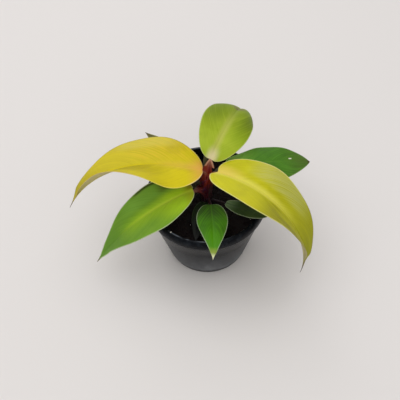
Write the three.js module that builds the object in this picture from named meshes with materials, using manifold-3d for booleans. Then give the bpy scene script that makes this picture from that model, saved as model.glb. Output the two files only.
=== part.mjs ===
// A young sunshine philodendron in a small black grower pot, in millimetres, +Z up.
// The origin is the centre of the pot's underside, where it stands on the floor.
// +X is the viewer's right and -Y is the side that faces the viewer.

import * as THREE from "three";
import { mergeVertices } from "three/addons/utils/BufferGeometryUtils.js";
import Module from "manifold-3d";

// The pot: a 10 cm round grower pot with a flared lip band.
const POT_HEIGHT = 76;
const RIM_RADIUS = 50;
const RIM_LAND = 1.4;
const LIP_RADIUS = 52.7;
const LIP_DEPTH = 7;
const SHOULDER_RADIUS = 51.7;
const BASE_RADIUS = 35.6;
const WALL = 1.2;
const FLOOR = 1.6;
const BASE_EDGE = 1.5;
const DRAIN_HOLES = 8;
const DRAIN_RADIUS = 3;
const DRAIN_CIRCLE = 26;
const POT_SIDES = 56;

// The soil: its top lies a little under the rim, and its side keeps clear of the pot.
const SOIL_TOP = 61.5;
const SOIL_RELIEF = 1.3;
const SOIL_SIDES = 44;
const CLEARANCE = 0.3;
const CRUMBS = 70;
const PERLITE = 16;

// The stem: it stands in a plain hole in the soil.
const STEM_FOOT = 34;
const STEM_RADIUS = 4.6;
const STEM_SIDES = 12;
const STALK_SIDES = 9;
const STALK_STEPS = 10;

// The leaf blades: a thin sheet with a raised midrib underneath.
const BLADE_THICKNESS = 0.7;
const MIDRIB_RELIEF = 1.1;
const TIP_HALF_WIDTH = 0.6;
const BLADE_COLUMNS = [-1, -0.68, -0.36, -0.12, 0, 0.12, 0.36, 0.68, 1];
const LARGE_ROWS = 22;
const SMALL_ROWS = 15;
const MIDRIB_STEPS = 240;

// Colours as the photo shows them.
const POT_BLACK = 0x15181c;
const SOIL_BROWN = 0x1d1512;
const STALK_MAROON = 0x6b3338;

// Each blade grows from base (mm) towards heading (degrees from +X, turned by headingTurn along its
// length). rise is its slope at the base, and fall and tipFall bend it down. length and halfWidth are
// in mm. shoulder and taper shape the outline, fold is the V of its two halves at the base, foldTip
// what is added at the tip, arch how far each half curves down. roll and rollTwist turn it about the
// midrib. lobes are the two rounded base lobes, lean the difference of the halves' widths, and ripple
// is the wave of the margin: height in mm, waves along the blade and phase in radians.
const BLADES = [
  {
    name: "leaf_blade_left", colour: 0xd3bd1c, rows: LARGE_ROWS,
    base: [-2.7, 3.4, 105.4], heading: 176.9, headingTurn: 59.5, rise: 15.3, fall: -25, tipFall: -27.2,
    length: 122.3, halfWidth: 31.7, shoulder: 0.973, taper: 1.6, fold: 11.5, foldTip: 36.7, arch: 9.6,
    roll: -5.1, rollTwist: 59.8, lobes: [0.053, 0.027], lean: 0.051, ripple: [0.5, 3, 0.4],
  },
  {
    name: "leaf_blade_right", colour: 0xb9bd35, rows: LARGE_ROWS,
    base: [9.8, -2.7, 109.3], heading: -28.5, headingTurn: -32.2, rise: 13.8, fall: -124.5, tipFall: 8.2,
    length: 149.1, halfWidth: 30.2, shoulder: 0.809, taper: 1.821, fold: 13.4, foldTip: 53.6, arch: 8.5,
    roll: -15.5, rollTwist: -16, lobes: [0.146, 0.16], lean: -0.048, ripple: [0.5, 3.5, 1.2],
  },
  {
    name: "leaf_blade_back", colour: 0x93a83c, rows: LARGE_ROWS,
    base: [4.4, 7.8, 113.2], heading: 64.9, headingTurn: 8.9, rise: 20, fall: -67.7, tipFall: -34.2,
    length: 93.8, halfWidth: 20.4, shoulder: 0.749, taper: 1.113, fold: 8.7, foldTip: -8.5, arch: 17.9,
    roll: 17.9, rollTwist: -2, lobes: [0.056, 0.081], lean: 0, ripple: [0.4, 3, 2],
  },
  {
    name: "leaf_blade_front_left", colour: 0x4f7d1f, rows: LARGE_ROWS,
    base: [-11, -9.4, 93.5], heading: 196.2, headingTurn: 9, rise: -11.4, fall: -50.6, tipFall: 10.8,
    length: 113.8, halfWidth: 23.1, shoulder: 0.83, taper: 1.64, fold: 14.4, foldTip: 10.5, arch: 8.3,
    roll: 1.6, rollTwist: -6.5, lobes: [0.058, 0.1], lean: 0.025, ripple: [0.5, 3, 0],
  },
  {
    name: "leaf_blade_back_right", colour: 0x3f7a2c, rows: LARGE_ROWS,
    base: [18.3, 12.7, 99.3], heading: 1.7, headingTurn: 6.5, rise: 2.4, fall: -9.9, tipFall: -12.6,
    length: 71.7, halfWidth: 19.5, shoulder: 0.76, taper: 0.915, fold: 0, foldTip: 10.5, arch: 16.5,
    roll: -13.6, rollTwist: 15.5, lobes: [0.14, 0.15], lean: -0.032, ripple: [0.4, 3, 1],
  },
  {
    name: "leaf_blade_front_small", colour: 0x3c6b22, rows: SMALL_ROWS,
    base: [3.6, -12.6, 76], heading: -86.3, headingTurn: -9.9, rise: 7, fall: -9.4, tipFall: -16,
    length: 54.1, halfWidth: 12.6, shoulder: 0.674, taper: 1.44, fold: 6.7, foldTip: 10.5, arch: 16.3,
    roll: -1.1, rollTwist: -3.1, lobes: [0.114, 0.144], lean: -0.013, ripple: [0.2, 3, 0.5],
  },
  {
    name: "leaf_blade_right_small", colour: 0x24401c, rows: SMALL_ROWS,
    base: [16.8, -9.5, 73.7], heading: -31.6, headingTurn: 9.4, rise: 10.6, fall: -4.7, tipFall: 3.5,
    length: 39.5, halfWidth: 6.5, shoulder: 0.685, taper: 0.693, fold: 9.5, foldTip: 5.7, arch: 13.7,
    roll: 1, rollTwist: 4.3, lobes: [0.143, 0.139], lean: -0.01, ripple: [0.2, 3, 1.5],
  },
  {
    name: "leaf_blade_back_left", colour: 0x5d6a2c, rows: SMALL_ROWS,
    base: [-11, 6, 95.4], heading: 132.8, headingTurn: 1.4, rise: 9.7, fall: -10.6, tipFall: 2.1,
    length: 59.4, halfWidth: 12.2, shoulder: 0.615, taper: 1.35, fold: 12, foldTip: 7.9, arch: 12.1,
    roll: 0.5, rollTwist: 0.4, lobes: [0.15, 0.15], lean: 0, ripple: [0.3, 3, 0.2],
  },
  {
    name: "leaf_blade_lower_front", colour: 0x22401a, rows: SMALL_ROWS,
    base: [-2, -6.9, 71.5], heading: -105.4, headingTurn: 9.3, rise: 1.2, fall: -16.7, tipFall: -0.2,
    length: 37.3, halfWidth: 6.5, shoulder: 0.651, taper: 1.223, fold: 10.4, foldTip: 8, arch: 13.7,
    roll: 1.4, rollTwist: 0.3, lobes: [0.15, 0.138], lean: 0, ripple: [0.2, 3, 0.9],
  },
  {
    name: "leaf_blade_lower_left", colour: 0x33261c, rows: SMALL_ROWS,
    base: [-9, 3, 80.2], heading: 184, headingTurn: 2, rise: 3, fall: -16, tipFall: 0,
    length: 56, halfWidth: 11, shoulder: 0.62, taper: 1.3, fold: 4, foldTip: 4, arch: 8,
    roll: 0, rollTwist: 0, lobes: [0.15, 0.15], lean: 0, ripple: [0.3, 3, 1.1],
  },
];

// Each stalk leaves the stem at root, is drawn upwards for climb mm, and runs into the underside of
// its blade. radii are in mm at its root, its middle and its head.
const STALKS = [
  { blade: "leaf_blade_left", root: [-1.6, 0.6, 80], climb: 16, reach: 6, radii: [3.2, 2.3, 1.7] },
  { blade: "leaf_blade_right", root: [1.8, -0.2, 80], climb: 17, reach: 7, radii: [3.2, 2.3, 1.7] },
  { blade: "leaf_blade_back", root: [0.4, 0.8, 82], climb: 18, reach: 7, radii: [3.4, 2.6, 2.0] },
  { blade: "leaf_blade_front_left", root: [-1.5, -1.4, 78], climb: 8, reach: 5, radii: [3.1, 2.2, 1.6] },
  { blade: "leaf_blade_back_right", root: [1.8, 1.8, 79], climb: 11, reach: 6, radii: [2.9, 2.0, 1.5] },
  { blade: "leaf_blade_front_small", root: [0.8, -1.8, 67], climb: 4, reach: 3, radii: [2.4, 1.7, 1.3] },
  { blade: "leaf_blade_right_small", root: [2.2, -1.4, 66], climb: 3, reach: 4, radii: [2.1, 1.4, 1.1] },
  { blade: "leaf_blade_back_left", root: [-1.8, 1.8, 77], climb: 9, reach: 5, radii: [2.7, 1.9, 1.4] },
  { blade: "leaf_blade_lower_front", root: [-0.8, -1.8, 65], climb: 3, reach: 2, radii: [2.0, 1.4, 1.0] },
  { blade: "leaf_blade_lower_left", root: [-2.2, 0.6, 70], climb: 5, reach: 3, radii: [2.4, 1.8, 1.3] },
];

const wasm = await Module();
wasm.setup();

// Seeded random numbers from 0 to 1, so that the soil is the same each time.
function randomSource(seed) {
  let state = seed;
  return () => {
    state = (state * 1664525 + 1013904223) % 4294967296;
    return state / 4294967296;
  };
}

function toSolid(geometry) {
  const bare = geometry.clone();
  bare.deleteAttribute("normal");
  bare.deleteAttribute("uv");
  const merged = mergeVertices(bare, 1e-4);
  return new wasm.Manifold(
    new wasm.Mesh({
      numProp: 3,
      vertProperties: Float32Array.from(merged.attributes.position.array),
      triVerts: Uint32Array.from(merged.index.array),
    }),
  );
}

function toGeometry(solid) {
  const mesh = solid.getMesh();
  const geometry = new THREE.BufferGeometry();
  geometry.setAttribute("position", new THREE.BufferAttribute(Float32Array.from(mesh.vertProperties), 3));
  geometry.setIndex(new THREE.BufferAttribute(Uint32Array.from(mesh.triVerts), 1));
  return geometry;
}

function largestBody(solid) {
  const bodies = solid.decompose();
  return bodies.reduce((best, body) => (body.volume() > best.volume() ? body : best));
}

function indexedGeometry(points, triangles) {
  const geometry = new THREE.BufferGeometry();
  const flat = points.flatMap((point) => [point.x, point.y, point.z]);
  geometry.setAttribute("position", new THREE.Float32BufferAttribute(flat, 3));
  geometry.setIndex(triangles);
  return geometry;
}

// A turned profile, given as [radius, height] pairs from the axis round to the axis again.
function turned(profile, sides) {
  const lathe = new THREE.LatheGeometry(
    profile.map(([radius, height]) => new THREE.Vector2(radius, height)),
    sides,
  );
  return lathe.rotateX(Math.PI / 2);
}

// The blade's outline: half its width at s, the place along the midrib from 0 to 1.
function halfWidthAt(blade, s) {
  const start = 0.035;
  const widest = (blade.shoulder - blade.taper * start) / (blade.shoulder + blade.taper);
  const swell = ((s + start) / (widest + start)) ** blade.shoulder;
  const narrow = (Math.max(1 - s, 0) / (1 - widest)) ** blade.taper;
  return blade.halfWidth * swell * narrow * Math.sqrt(1 - Math.exp(-s / 0.02)) + TIP_HALF_WIDTH;
}

// The direction of the midrib at s, with the level direction across it and the way its face looks.
function midribFrame(blade, s) {
  const rise = THREE.MathUtils.degToRad(blade.rise + blade.fall * s + blade.tipFall * s ** 4);
  const heading = THREE.MathUtils.degToRad(blade.heading + blade.headingTurn * s * s);
  const roll = THREE.MathUtils.degToRad(blade.roll + blade.rollTwist * s);
  const along = new THREE.Vector3(
    Math.cos(rise) * Math.cos(heading),
    Math.cos(rise) * Math.sin(heading),
    Math.sin(rise),
  );
  const level = new THREE.Vector3(-Math.sin(heading), Math.cos(heading), 0);
  const up = new THREE.Vector3().crossVectors(along, level);
  const across = level.clone().multiplyScalar(Math.cos(roll)).addScaledVector(up, Math.sin(roll));
  const face = up.clone().multiplyScalar(Math.cos(roll)).addScaledVector(level, -Math.sin(roll));
  return { along, across, face };
}

// The midrib as a run of points, from the base to the tip.
function midribPoints(blade) {
  const points = [new THREE.Vector3(...blade.base)];
  for (let step = 1; step <= MIDRIB_STEPS; step += 1) {
    const before = midribFrame(blade, (step - 1) / MIDRIB_STEPS).along;
    const after = midribFrame(blade, step / MIDRIB_STEPS).along;
    const stride = blade.length / MIDRIB_STEPS / 2;
    points.push(points[step - 1].clone().addScaledVector(before, stride).addScaledVector(after, stride));
  }
  return points;
}

// A point in the middle of the blade's thickness. t runs across it, from -1 to 1.
function bladePoint(blade, midrib, s, t) {
  const place = THREE.MathUtils.clamp(s, 0, 1) * MIDRIB_STEPS;
  const step = Math.min(Math.floor(place), MIDRIB_STEPS - 1);
  const middle = midrib[step].clone().lerp(midrib[step + 1], place - step);
  const { along, across, face } = midribFrame(blade, s);
  const width = halfWidthAt(blade, s);
  const side = Math.sign(t);
  const out = Math.abs(t);
  const fold = THREE.MathUtils.degToRad(blade.fold + blade.foldTip * s * s) * Math.min(1, width / 6);
  const arch = THREE.MathUtils.degToRad(blade.arch);
  const reach = ((Math.sin(fold) - Math.sin(fold - arch * out)) / arch) * (1 + blade.lean * side);
  const lift = (Math.cos(fold - arch * out) - Math.cos(fold)) / arch;
  const lobe = t >= 0 ? blade.lobes[0] : blade.lobes[1];
  const rounding = Math.sqrt(1 - Math.exp(-s / 0.02)) * Math.max(0, 1 - s / 0.3) ** 2;
  const back = lobe * rounding * out ** 1.3 * blade.halfWidth;
  const [height, waves, phase] = blade.ripple;
  const wave = height * Math.sin(2 * Math.PI * waves * s + phase) * side * out ** 2 * Math.min(1, width / 6);
  return middle
    .addScaledVector(across, width * side * reach)
    .addScaledVector(face, width * lift + wave)
    .addScaledVector(along, -back);
}

function bladeNormal(blade, midrib, s, t) {
  const step = 0.004;
  const low = THREE.MathUtils.clamp(s - step, 0, 1 - 2 * step);
  const lengthwise = bladePoint(blade, midrib, low + 2 * step, t).sub(bladePoint(blade, midrib, low, t));
  const right = bladePoint(blade, midrib, s, Math.min(1, t + 0.02));
  const left = bladePoint(blade, midrib, s, Math.max(-1, t - 0.02));
  return lengthwise.cross(right.sub(left)).normalize();
}

// Rows lie closer together towards the base and the tip, where the outline turns most.
function rowPlaces(rows) {
  return Array.from({ length: rows + 1 }, (_, row) => {
    const even = row / rows;
    return 0.35 * even + 0.65 * (0.5 - 0.5 * Math.cos(Math.PI * even));
  });
}

// One blade as a closed sheet. Both faces are split into triangles alike.
function bladeGeometry(blade, thickness, withMidrib) {
  const midrib = midribPoints(blade);
  const places = rowPlaces(blade.rows);
  const columns = BLADE_COLUMNS;
  const top = [];
  const bottom = [];
  for (const s of places) {
    for (const t of columns) {
      const point = bladePoint(blade, midrib, s, t);
      const normal = bladeNormal(blade, midrib, s, t);
      const rib = withMidrib && t === 0 ? MIDRIB_RELIEF * (1 - s) * Math.min(1, s / 0.08) : 0;
      top.push(point.clone().addScaledVector(normal, thickness / 2));
      bottom.push(point.clone().addScaledVector(normal, -thickness / 2 - rib));
    }
  }
  const across = columns.length;
  const count = top.length;
  const triangles = [];
  const addFace = (a, b, c) => {
    triangles.push(a, b, c);
    triangles.push(a + count, c + count, b + count);
  };
  for (let row = 0; row + 1 < places.length; row += 1) {
    for (let column = 0; column + 1 < across; column += 1) {
      const a = row * across + column;
      const b = a + across;
      if (columns[column] < 0) {
        addFace(a, b, a + 1);
        addFace(a + 1, b, b + 1);
      } else {
        addFace(a, b, b + 1);
        addFace(a, b + 1, a + 1);
      }
    }
  }
  const last = places.length - 1;
  const edge = [];
  for (let column = 0; column < across; column += 1) edge.push(column);
  for (let row = 1; row <= last; row += 1) edge.push(row * across + across - 1);
  for (let column = across - 2; column >= 0; column -= 1) edge.push(last * across + column);
  for (let row = last - 1; row >= 1; row -= 1) edge.push(row * across);
  edge.forEach((from, index) => {
    const to = edge[(index + 1) % edge.length];
    triangles.push(from, to, to + count);
    triangles.push(from, to + count, from + count);
  });
  return indexedGeometry([...top, ...bottom], triangles);
}

// A round limb along a curve, closed at both ends. radiusAt gives its radius from 0 to 1 along it.
function limbGeometry(curve, radiusAt, sides, steps) {
  const frames = curve.computeFrenetFrames(steps, false);
  const points = [];
  const triangles = [];
  for (let step = 0; step <= steps; step += 1) {
    const place = step / steps;
    const centre = curve.getPointAt(place);
    const radius = radiusAt(place);
    for (let side = 0; side < sides; side += 1) {
      const angle = (2 * Math.PI * side) / sides;
      points.push(
        centre
          .clone()
          .addScaledVector(frames.normals[step], radius * Math.cos(angle))
          .addScaledVector(frames.binormals[step], radius * Math.sin(angle)),
      );
    }
  }
  for (let step = 0; step < steps; step += 1) {
    for (let side = 0; side < sides; side += 1) {
      const next = (side + 1) % sides;
      const a = step * sides + side;
      const b = step * sides + next;
      triangles.push(a, b, b + sides, a, b + sides, a + sides);
    }
  }
  const foot = points.length;
  points.push(curve.getPointAt(0));
  const head = points.length;
  const ahead = frames.tangents[steps].clone().multiplyScalar(radiusAt(1) * 0.45);
  points.push(curve.getPointAt(1).add(ahead));
  for (let side = 0; side < sides; side += 1) {
    const next = (side + 1) % sides;
    triangles.push(foot, next, side);
    triangles.push(head, steps * sides + side, steps * sides + next);
  }
  return indexedGeometry(points, triangles);
}

function potGeometry() {
  const taper = (SHOULDER_RADIUS - BASE_RADIUS) / (POT_HEIGHT - LIP_DEPTH);
  const outer = (height) => BASE_RADIUS + taper * height;
  const inside = (height) => outer(height) - WALL;
  const profile = [
    [0, 0],
    [BASE_RADIUS - BASE_EDGE, 0],
    [outer(BASE_EDGE) - 0.2, BASE_EDGE * 0.6],
    [outer(2 * BASE_EDGE), 2 * BASE_EDGE],
    [SHOULDER_RADIUS, POT_HEIGHT - LIP_DEPTH],
    [LIP_RADIUS, POT_HEIGHT - LIP_DEPTH],
    [RIM_RADIUS + 0.4, POT_HEIGHT - 0.3],
    [RIM_RADIUS, POT_HEIGHT],
    [RIM_RADIUS - RIM_LAND + 0.4, POT_HEIGHT],
    [RIM_RADIUS - RIM_LAND, POT_HEIGHT - 0.5],
    [RIM_RADIUS - RIM_LAND - 0.1, POT_HEIGHT - LIP_DEPTH],
    [inside(POT_HEIGHT - LIP_DEPTH - 9), POT_HEIGHT - LIP_DEPTH - 9],
    [inside(FLOOR + 2), FLOOR + 2],
    [inside(FLOOR) - 2, FLOOR],
    [0, FLOOR],
  ];
  let pot = toSolid(turned(profile, POT_SIDES));
  for (let hole = 0; hole < DRAIN_HOLES; hole += 1) {
    const angle = (2 * Math.PI * hole) / DRAIN_HOLES;
    const drill = new THREE.CylinderGeometry(DRAIN_RADIUS, DRAIN_RADIUS, 4 * FLOOR, 14);
    drill.rotateX(Math.PI / 2);
    drill.translate(DRAIN_CIRCLE * Math.cos(angle), DRAIN_CIRCLE * Math.sin(angle), FLOOR / 2);
    pot = pot.subtract(toSolid(drill));
  }
  return toGeometry(pot);
}

// The soil's top: low mounds, crumbs and perlite grains raised by a formula, flatter at the pot's wall.
function soilHeight(x, y, crumbs) {
  const distance = Math.hypot(x, y);
  const mound = Math.sin(x * 0.13 + 1.1) * Math.cos(y * 0.11 - 0.4) + 0.5 * Math.sin(x * 0.29 - y * 0.23);
  const bumps = crumbs.reduce((sum, crumb) => {
    const near = 1 - Math.hypot(x - crumb.x, y - crumb.y) / crumb.size;
    return sum + (near > 0 ? crumb.height * near : 0);
  }, 0);
  const fade = THREE.MathUtils.clamp((46 - distance) / 6, 0, 1);
  return SOIL_TOP + (SOIL_RELIEF * mound * 0.6 + bumps) * fade;
}

function soilGeometry() {
  const random = randomSource(7);
  const crumbs = Array.from({ length: CRUMBS + PERLITE }, () => {
    const angle = 2 * Math.PI * random();
    const distance = 9 + 36 * Math.sqrt(random());
    return {
      x: distance * Math.cos(angle),
      y: distance * Math.sin(angle),
      size: 2.4 + 2.2 * random(),
      height: 0.8 + 1.3 * random(),
    };
  });
  const taper = (SHOULDER_RADIUS - BASE_RADIUS) / (POT_HEIGHT - LIP_DEPTH);
  const side = (height) => BASE_RADIUS + taper * height - WALL - CLEARANCE;
  const underside = [
    [side(FLOOR) - 2.2, FLOOR + CLEARANCE],
    [side(FLOOR + 2.2) - 0.1, FLOOR + 2.2 + CLEARANCE],
    [side(30) - 0.05, 30],
    [side(SOIL_TOP - 2) - 0.3, SOIL_TOP - 2],
  ];
  const radii = [44.8, 41.5, 38, 34.5, 31, 27.5, 24, 20.5, 17, 13.5, 10, 7.2];
  const rings = [
    ...underside.map(([radius, height]) => ({ radius, height })),
    ...radii.map((radius) => ({ radius, height: null })),
  ];
  const points = [];
  for (const ring of rings) {
    for (let turn = 0; turn < SOIL_SIDES; turn += 1) {
      const angle = (2 * Math.PI * turn) / SOIL_SIDES;
      const x = ring.radius * Math.cos(angle);
      const y = ring.radius * Math.sin(angle);
      points.push(new THREE.Vector3(x, y, ring.height ?? soilHeight(x, y, crumbs)));
    }
  }
  const triangles = [];
  for (let ring = 0; ring + 1 < rings.length; ring += 1) {
    for (let turn = 0; turn < SOIL_SIDES; turn += 1) {
      const next = (turn + 1) % SOIL_SIDES;
      const a = ring * SOIL_SIDES + turn;
      const b = ring * SOIL_SIDES + next;
      triangles.push(a, b, b + SOIL_SIDES, a, b + SOIL_SIDES, a + SOIL_SIDES);
    }
  }
  const foot = points.length;
  points.push(new THREE.Vector3(0, 0, FLOOR + CLEARANCE));
  const crown = points.length;
  points.push(new THREE.Vector3(0, 0, SOIL_TOP));
  const lastRing = (rings.length - 1) * SOIL_SIDES;
  for (let turn = 0; turn < SOIL_SIDES; turn += 1) {
    const next = (turn + 1) % SOIL_SIDES;
    triangles.push(foot, next, turn);
    triangles.push(crown, lastRing + turn, lastRing + next);
  }
  const body = toSolid(indexedGeometry(points, triangles));
  const bore = new THREE.CylinderGeometry(STEM_RADIUS + 0.9, STEM_RADIUS + 0.9, 60, 24);
  bore.rotateX(Math.PI / 2);
  bore.translate(0, 0, STEM_FOOT - CLEARANCE + 30);
  return toGeometry(largestBody(body.subtract(toSolid(bore))));
}

// The stem, slightly swollen where stalks leave it, and the stalks, cut back clear of the blades.
function stemGeometry() {
  const axis = new THREE.CatmullRomCurve3([
    new THREE.Vector3(0, 0, STEM_FOOT),
    new THREE.Vector3(0.1, 0, 50),
    new THREE.Vector3(0, 0, 66),
    new THREE.Vector3(-0.1, 0.3, 78),
    new THREE.Vector3(0.2, 0.8, 90),
  ]);
  const stemRadius = (place) => {
    const joint = 0.22 * Math.cos(place * 2 * Math.PI * 5);
    return STEM_RADIUS * (1 - 0.3 * place ** 3) - 0.1 + joint * 0.4;
  };
  let plant = toSolid(limbGeometry(axis, stemRadius, STEM_SIDES, 22));
  for (const stalk of STALKS) {
    const blade = BLADES.find((each) => each.name === stalk.blade);
    const { along, face } = midribFrame(blade, 0);
    const root = new THREE.Vector3(...stalk.root);
    const [atRoot, atMiddle, atHead] = stalk.radii;
    const drop = BLADE_THICKNESS / 2 + CLEARANCE + atHead;
    const end = new THREE.Vector3(...blade.base).addScaledVector(face, -drop);
    const curve = new THREE.CubicBezierCurve3(
      root,
      root.clone().add(new THREE.Vector3(0, 0, stalk.climb)),
      end.clone().addScaledVector(along, -stalk.reach),
      end,
    );
    const radiusAt = (place) =>
      place < 0.5
        ? THREE.MathUtils.lerp(atRoot, atMiddle, place * 2)
        : THREE.MathUtils.lerp(atMiddle, atHead, place * 2 - 1);
    plant = plant.add(toSolid(limbGeometry(curve, radiusAt, STALK_SIDES, STALK_STEPS)));
  }
  for (const blade of BLADES) {
    plant = plant.subtract(toSolid(bladeGeometry(blade, BLADE_THICKNESS + 2.4 * CLEARANCE, false)));
  }
  return toGeometry(largestBody(plant));
}

function addPiece(parent, name, geometry, colour, roughness) {
  geometry.computeVertexNormals();
  const material = new THREE.MeshStandardMaterial({ color: colour, roughness, metalness: 0 });
  const mesh = new THREE.Mesh(geometry, material);
  mesh.name = name;
  parent.add(mesh);
}

const plant = new THREE.Group();
addPiece(plant, "nursery_pot", potGeometry(), POT_BLACK, 0.35);
addPiece(plant, "potting_soil", soilGeometry(), SOIL_BROWN, 0.95);
addPiece(plant, "stem_and_petioles", stemGeometry(), STALK_MAROON, 0.5);
for (const blade of BLADES) {
  addPiece(plant, blade.name, bladeGeometry(blade, BLADE_THICKNESS, true), blade.colour, 0.45);
}

export default plant;
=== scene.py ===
# A young sunshine philodendron in a small grower pot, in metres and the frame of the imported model.
# The pot stands on the floor at the origin, +Z is up and -Y is the side that faces the viewer.

import math
import random

import bpy
import numpy as np
from mathutils import Euler, Matrix, Vector
from mathutils.kdtree import KDTree


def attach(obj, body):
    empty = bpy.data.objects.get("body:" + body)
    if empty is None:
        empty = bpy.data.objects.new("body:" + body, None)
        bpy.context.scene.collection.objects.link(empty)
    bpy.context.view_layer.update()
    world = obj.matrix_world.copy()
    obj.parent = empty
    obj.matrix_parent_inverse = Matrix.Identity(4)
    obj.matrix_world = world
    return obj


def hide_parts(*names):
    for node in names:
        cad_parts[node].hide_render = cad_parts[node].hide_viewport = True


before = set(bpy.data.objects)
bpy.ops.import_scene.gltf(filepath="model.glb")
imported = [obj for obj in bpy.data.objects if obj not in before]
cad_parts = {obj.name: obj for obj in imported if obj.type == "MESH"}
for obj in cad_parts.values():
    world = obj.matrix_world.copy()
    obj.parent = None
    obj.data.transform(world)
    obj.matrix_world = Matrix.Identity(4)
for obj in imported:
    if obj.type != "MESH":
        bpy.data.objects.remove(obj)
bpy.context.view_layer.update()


# Nursery pot. Black polypropylene, injection moulded in one shot: a thin tapered wall, a lip band
# that stands proud of it, and drain holes through the flat base.
MM = 0.001
POT_HEIGHT = 76
BASE_RADIUS = 35.6
SHOULDER_RADIUS = 51.4
LIP_RADIUS = 52.7
LIP_DEPTH = 8.3
# How high the dark band at the foot reaches, in mm: painted shade of the contact shadow.
FOOT_SHADE_HEIGHT = 5.5
WALL = 1.2
FLOOR = 1.6
DRAIN_HOLES = 8
DRAIN_RADIUS = 3
DRAIN_CIRCLE = 26
POT_SIDES = 160


def srgb(code):
    """An sRGB hex colour as the linear colour that a shader takes."""
    parts = [int(code[place : place + 2], 16) / 255 for place in (1, 3, 5)]
    return (*[part / 12.92 if part <= 0.04045 else ((part + 0.055) / 1.055) ** 2.4 for part in parts], 1)


def add_node(tree, kind, settings=None, links=None):
    """Adds one node, with its properties and socket values, and links its sockets to others' outputs."""
    node = tree.nodes.new(kind)
    for key, value in (settings or {}).items():
        if isinstance(key, str) and hasattr(node, key):
            setattr(node, key, value)
        else:
            node.inputs[key].default_value = value
    for key, source in (links or {}).items():
        tree.links.new(node.inputs[key], source)
    return node


def new_material(name):
    material = bpy.data.materials.new(name)
    material.use_nodes = True
    material.node_tree.nodes.clear()
    return material, material.node_tree


def lay_colour(tree, under, code, limits, strength=1, easing="SMOOTHSTEP"):
    """Lays a colour over a plain one, or over what is laid already, and gives the result. Each limit is
    a measure of the surface, with where the colour is gone and where it is full."""
    amount = None
    for measure, gone, full in limits:
        part = add_node(
            tree,
            "ShaderNodeMapRange",
            {"interpolation_type": easing, "From Min": gone, "From Max": full, "To Max": strength},
            {"Value": measure},
        ).outputs["Result"]
        if amount is not None:
            part = add_node(
                tree, "ShaderNodeMath", {"operation": "MULTIPLY"}, {0: amount, 1: part}
            ).outputs["Value"]
        amount, strength = part, 1
    settings, links = {"data_type": "RGBA", 7: srgb(code)}, {0: amount}
    if isinstance(under, str):
        settings[6] = srgb(under)
    else:
        links[6] = under
    return add_node(tree, "ShaderNodeMix", settings, links).outputs[2]


def select_only(*pieces):
    """Deselects everything, then selects these pieces and makes the last one active."""
    bpy.ops.object.select_all(action="DESELECT")
    for piece in pieces:
        piece.select_set(True)
        bpy.context.view_layer.objects.active = piece


def modify(piece, kind, **settings):
    """Gives the piece one modifier and applies it."""
    select_only(piece)
    bpy.ops.object.modifier_add(type=kind)
    modifier = piece.modifiers[-1]
    for name, value in settings.items():
        setattr(modifier, name, value)
    bpy.ops.object.modifier_apply(modifier=modifier.name)


def join(pieces):
    """Makes one mesh of several and applies where they stand to it."""
    select_only(*pieces)
    bpy.ops.object.join()
    bpy.ops.object.transform_apply(location=True, rotation=True, scale=True)
    return bpy.context.object


def turn_rings(rings, sides):
    """A turned shape: a filled circle drawn out ring by ring, each a radius and a height in mm."""
    radius, height = rings[0]
    select_only()
    bpy.ops.mesh.primitive_circle_add(
        vertices=sides, radius=radius * MM, location=(0, 0, height * MM), fill_type="NGON"
    )
    bpy.ops.object.mode_set(mode="EDIT")
    for next_radius, next_height in rings[1:]:
        bpy.ops.mesh.extrude_region_move(
            TRANSFORM_OT_translate={"value": (0, 0, (next_height - height) * MM)}
        )
        growth = next_radius / radius
        bpy.ops.transform.resize(value=(growth, growth, 1))
        radius, height = next_radius, next_height
    bpy.ops.object.mode_set(mode="OBJECT")
    bpy.ops.object.transform_apply(location=True, rotation=True, scale=True)
    return bpy.context.object


def finish_piece(piece, name, materials, nodes=(), smooth_angle=35):
    """Names a finished piece, smooths it, adds its materials and ties it to the frame."""
    piece.name = name
    piece.data.name = name
    select_only(piece)
    bpy.ops.object.shade_smooth_by_angle(angle=math.radians(smooth_angle))
    for material in materials:
        piece.data.materials.append(material)
    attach(piece, "root")
    if nodes:
        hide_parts(*nodes)


def wall_radius(height):
    """The pot's outer radius in mm at a height on its tapered wall."""
    return BASE_RADIUS + (SHOULDER_RADIUS - BASE_RADIUS) / (POT_HEIGHT - LIP_DEPTH) * height


shoulder = POT_HEIGHT - LIP_DEPTH
pot = turn_rings(
    [
        (BASE_RADIUS - 1.5, 0),
        (BASE_RADIUS - 0.5, 0.2),
        (wall_radius(1.2) - 0.1, 1.2),
        (wall_radius(3), 3),
        (wall_radius(FOOT_SHADE_HEIGHT), FOOT_SHADE_HEIGHT),
        (wall_radius(24), 24),
        (wall_radius(47), 47),
        (SHOULDER_RADIUS, shoulder),
        (LIP_RADIUS - 0.1, shoulder),
        (LIP_RADIUS, shoulder + 0.5),
        (LIP_RADIUS - 0.25, POT_HEIGHT - 3.8),
        (LIP_RADIUS - 0.9, POT_HEIGHT - 1.8),
        (LIP_RADIUS - 1.8, POT_HEIGHT - 0.6),
        (LIP_RADIUS - 2.6, POT_HEIGHT - 0.08),
        (LIP_RADIUS - 3.1, POT_HEIGHT),
        (LIP_RADIUS - 3.7, POT_HEIGHT - 0.1),
        (LIP_RADIUS - 4.05, POT_HEIGHT - 0.6),
        (LIP_RADIUS - 4.2, shoulder),
        (wall_radius(shoulder - 9) - WALL, shoulder - 9),
        (wall_radius(FLOOR + 2) - WALL, FLOOR + 2),
        (wall_radius(FLOOR) - WALL - 2, FLOOR),
    ],
    POT_SIDES,
)
drills = []
for hole in range(DRAIN_HOLES):
    angle = 2 * math.pi * hole / DRAIN_HOLES
    place = Vector((math.cos(angle), math.sin(angle), 0)) * DRAIN_CIRCLE * MM
    bpy.ops.mesh.primitive_cylinder_add(vertices=28, radius=DRAIN_RADIUS * MM, depth=8 * MM, location=place)
    drills.append(bpy.context.object)
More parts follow.
